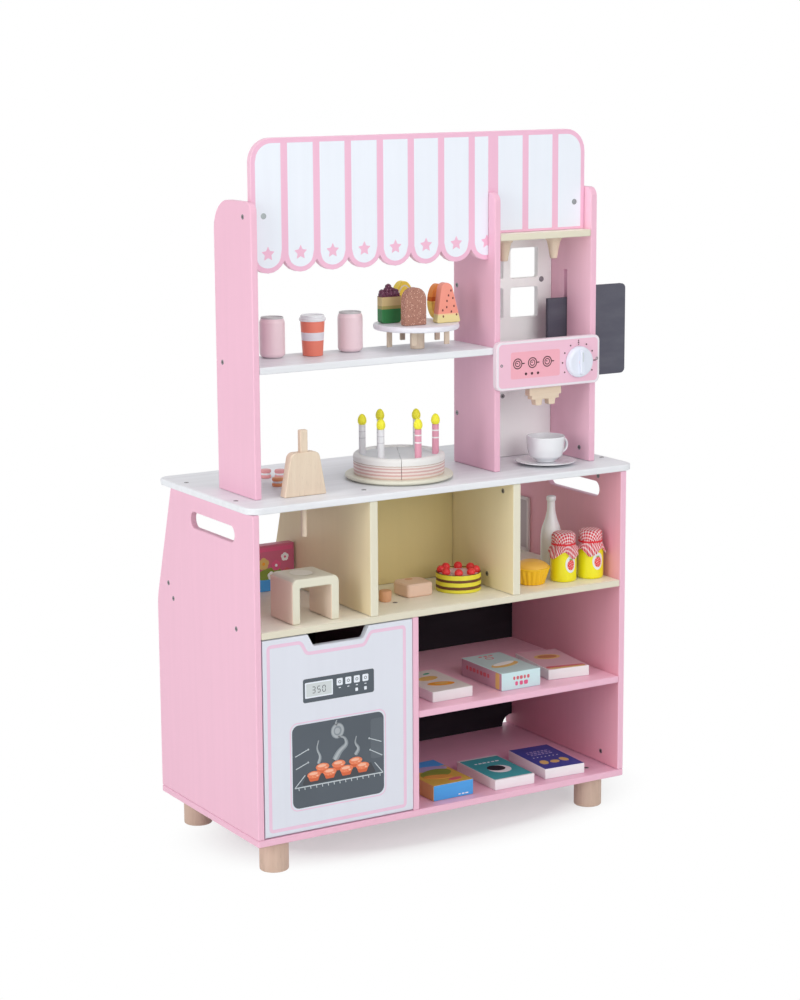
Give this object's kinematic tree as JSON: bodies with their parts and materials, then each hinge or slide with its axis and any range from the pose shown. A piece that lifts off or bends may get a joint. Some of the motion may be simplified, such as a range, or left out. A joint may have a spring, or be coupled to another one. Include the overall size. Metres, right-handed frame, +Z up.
{
  "type": "toy ice cream stand",
  "caption": "Child's wooden play stand: cubby cabinet with drop-down oven front, counter, striped awning, coffee bay with knob, hooked sign, press and loose play food.",
  "frame": {"origin": "on the floor below the middle of the whole object's box", "axes": "+X to the right as seen from the front, +Y to the back, +Z up; the front faces -Y"},
  "size_m": [0.6788, 0.2944, 0.9753],
  "materials": {
    "pink_paint": "satin pink paint on board",
    "white_paint": "satin white paint on board",
    "cream_paint": "satin cream paint on board",
    "chalk_paint": "matt dark grey chalkboard paint",
    "bare_wood": "clear-sealed pale solid wood",
    "knob_white": "satin white paint, turned",
    "pin_steel": "plain steel pin",
    "toy_pink": "satin pale pink toy paint",
    "toy_coral": "satin coral toy paint",
    "toy_green": "satin toy paint in green, tan and berry layers",
    "toy_brown": "speckled brown toy paint",
    "toy_melon": "satin melon-red toy paint",
    "toy_yellow": "satin yellow toy paint",
    "toy_orange": "satin orange toy paint",
    "toy_peach": "satin peach toy paint",
    "toy_white": "satin white toy paint",
    "card": "printed card"
  },
  "bodies": {
    "stand": {"bottom_panel": "pink_paint", "left_side_panel": "pink_paint", "right_side_panel": "pink_paint", "counter_top": "white_paint", "cubby_shelf": "cream_paint", "cubby_divider_left": "cream_paint", "cubby_divider_right": "cream_paint", "cubby_back_panel": "cream_paint", "lower_divider": "pink_paint", "lower_shelf": "pink_paint", "lower_back_panel": "chalk_paint", "foot_front_left": "bare_wood", "foot_front_right": "bare_wood", "foot_rear_left": "bare_wood", "foot_rear_right": "bare_wood", "left_upright": "pink_paint", "partition_upright": "pink_paint", "right_upright": "pink_paint", "upper_shelf": "white_paint", "awning_board": "white_paint", "nozzle_shelf": "cream_paint", "nozzle_left": "bare_wood", "nozzle_right": "bare_wood", "window_panel": "white_paint", "control_panel": "pink_paint", "spout_block": "bare_wood", "oven_pin_left": "pin_steel", "oven_pin_right": "pin_steel", "press_block": "bare_wood"},
    "knob": {"control_knob": "knob_white"},
    "sign": {"chalk_sign": "chalk_paint"},
    "oven_front": {"oven_door": "white_paint"},
    "plunger": {"press_plunger": "bare_wood"},
    "pop_tray": {"pop_tray": "toy_white"},
    "ice_pop_layers": {"ice_pop_layers": "toy_green"},
    "ice_pop_arch": {"ice_pop_arch": "toy_brown"},
    "ice_pop_melon": {"ice_pop_melon": "toy_melon"},
    "ice_pop_lemon": {"ice_pop_lemon": "toy_yellow"},
    "ice_pop_mango": {"ice_pop_mango": "toy_orange"},
    "can_left": {"can_left": "toy_pink"},
    "can_right": {"can_right": "toy_pink"},
    "drink_cup": {"drink_cup": "toy_coral"},
    "cake_plate": {"cake_plate": "cream_paint"},
    "birthday_cake": {"birthday_cake": "toy_white"},
    "saucer": {"saucer": "toy_white"},
    "coffee_cup": {"coffee_cup": "toy_white"},
    "arch_stand": {"arch_stand": "cream_paint"},
    "sandwich_slice": {"sandwich_slice": "toy_peach"},
    "berry_cake": {"berry_cake": "toy_yellow"},
    "orange_tart": {"orange_tart": "toy_orange"},
    "milk_bottle": {"milk_bottle": "toy_white"},
    "jam_jar_left": {"jam_jar_left": "toy_yellow"},
    "jam_jar_right": {"jam_jar_right": "toy_yellow"},
    "card_box_lower_left": {"card_box_lower_left": "card"},
    "card_box_lower_middle": {"card_box_lower_middle": "card"},
    "card_box_lower_right": {"card_box_lower_right": "card"},
    "card_box_standing": {"card_box_standing": "card"},
    "card_box_upper_left": {"card_box_upper_left": "card"},
    "card_box_upper_middle": {"card_box_upper_middle": "card"},
    "card_box_upper_right": {"card_box_upper_right": "card"}
  },
  "joints": [
    {"name": "knob_turn", "type": "hinge", "parent": "stand", "child": "knob", "pos_m": [0.207, -0.10775, 0.65185], "axis": [0, 1, 0], "continuous": true},
    {"name": "sign_lift", "type": "slide", "parent": "stand", "child": "sign", "axis": [0, 0, 1], "range_m": [0, 0.038]},
    {"name": "oven_door_drop", "type": "hinge", "parent": "stand", "child": "oven_front", "pos_m": [-0.2086, -0.141, 0.05955], "axis": [1, 0, 0], "range_deg": [0, 90]},
    {"name": "press_lift", "type": "slide", "parent": "stand", "child": "plunger", "axis": [0, 0, 1], "range_m": [0, 0.03]},
    {"name": "pop_tray_lift", "type": "slide", "parent": "stand", "child": "pop_tray", "axis": [0, 0, 1], "range_m": [0, 0.012]},
    {"name": "ice_pop_layers_lift", "type": "slide", "parent": "pop_tray", "child": "ice_pop_layers", "axis": [0, 0, 1], "range_m": [0, 0.03]},
    {"name": "ice_pop_arch_lift", "type": "slide", "parent": "pop_tray", "child": "ice_pop_arch", "axis": [0, 0, 1], "range_m": [0, 0.018]},
    {"name": "ice_pop_melon_lift", "type": "slide", "parent": "pop_tray", "child": "ice_pop_melon", "axis": [0, 0, 1], "range_m": [0, 0.018]},
    {"name": "ice_pop_lemon_lift", "type": "slide", "parent": "pop_tray", "child": "ice_pop_lemon", "axis": [0, 0, 1], "range_m": [0, 0.03]},
    {"name": "ice_pop_mango_lift", "type": "slide", "parent": "pop_tray", "child": "ice_pop_mango", "axis": [0, 0, 1], "range_m": [0, 0.03]},
    {"name": "can_left_lift", "type": "slide", "parent": "stand", "child": "can_left", "axis": [0, 0, 1], "range_m": [0, 0.04]},
    {"name": "can_right_lift", "type": "slide", "parent": "stand", "child": "can_right", "axis": [0, 0, 1], "range_m": [0, 0.04]},
    {"name": "drink_cup_lift", "type": "slide", "parent": "stand", "child": "drink_cup", "axis": [0, 0, 1], "range_m": [0, 0.04]},
    {"name": "cake_plate_lift", "type": "slide", "parent": "stand", "child": "cake_plate", "axis": [0, 0, 1], "range_m": [0, 0.02]},
    {"name": "birthday_cake_lift", "type": "slide", "parent": "cake_plate", "child": "birthday_cake", "axis": [0, 0, 1], "range_m": [0, 0.03]},
    {"name": "saucer_lift", "type": "slide", "parent": "stand", "child": "saucer", "axis": [0, 0, 1], "range_m": [0, 0.012]},
    {"name": "coffee_cup_lift", "type": "slide", "parent": "saucer", "child": "coffee_cup", "axis": [0, 0, 1], "range_m": [0, 0.025]},
    {"name": "arch_stand_lift", "type": "slide", "parent": "stand", "child": "arch_stand", "axis": [0, 0, 1], "range_m": [0, 0.03]},
    {"name": "sandwich_slice_lift", "type": "slide", "parent": "stand", "child": "sandwich_slice", "axis": [0, 0, 1], "range_m": [0, 0.03]},
    {"name": "berry_cake_lift", "type": "slide", "parent": "stand", "child": "berry_cake", "axis": [0, 0, 1], "range_m": [0, 0.03]},
    {"name": "orange_tart_lift", "type": "slide", "parent": "stand", "child": "orange_tart", "axis": [0, 0, 1], "range_m": [0, 0.03]},
    {"name": "milk_bottle_lift", "type": "slide", "parent": "stand", "child": "milk_bottle", "axis": [0, 0, 1], "range_m": [0, 0.03]},
    {"name": "jam_jar_left_lift", "type": "slide", "parent": "stand", "child": "jam_jar_left", "axis": [0, 0, 1], "range_m": [0, 0.03]},
    {"name": "jam_jar_right_lift", "type": "slide", "parent": "stand", "child": "jam_jar_right", "axis": [0, 0, 1], "range_m": [0, 0.03]},
    {"name": "card_box_lower_left_lift", "type": "slide", "parent": "stand", "child": "card_box_lower_left", "axis": [0, 0, 1], "range_m": [0, 0.03]},
    {"name": "card_box_lower_middle_lift", "type": "slide", "parent": "stand", "child": "card_box_lower_middle", "axis": [0, 0, 1], "range_m": [0, 0.03]},
    {"name": "card_box_lower_right_lift", "type": "slide", "parent": "stand", "child": "card_box_lower_right", "axis": [0, 0, 1], "range_m": [0, 0.03]},
    {"name": "card_box_standing_lift", "type": "slide", "parent": "stand", "child": "card_box_standing", "axis": [0, 0, 1], "range_m": [0, 0.03]},
    {"name": "card_box_upper_left_lift", "type": "slide", "parent": "stand", "child": "card_box_upper_left", "axis": [0, 0, 1], "range_m": [0, 0.03]},
    {"name": "card_box_upper_middle_lift", "type": "slide", "parent": "stand", "child": "card_box_upper_middle", "axis": [0, 0, 1], "range_m": [0, 0.03]},
    {"name": "card_box_upper_right_lift", "type": "slide", "parent": "stand", "child": "card_box_upper_right", "axis": [0, 0, 1], "range_m": [0, 0.03]}
  ]
}
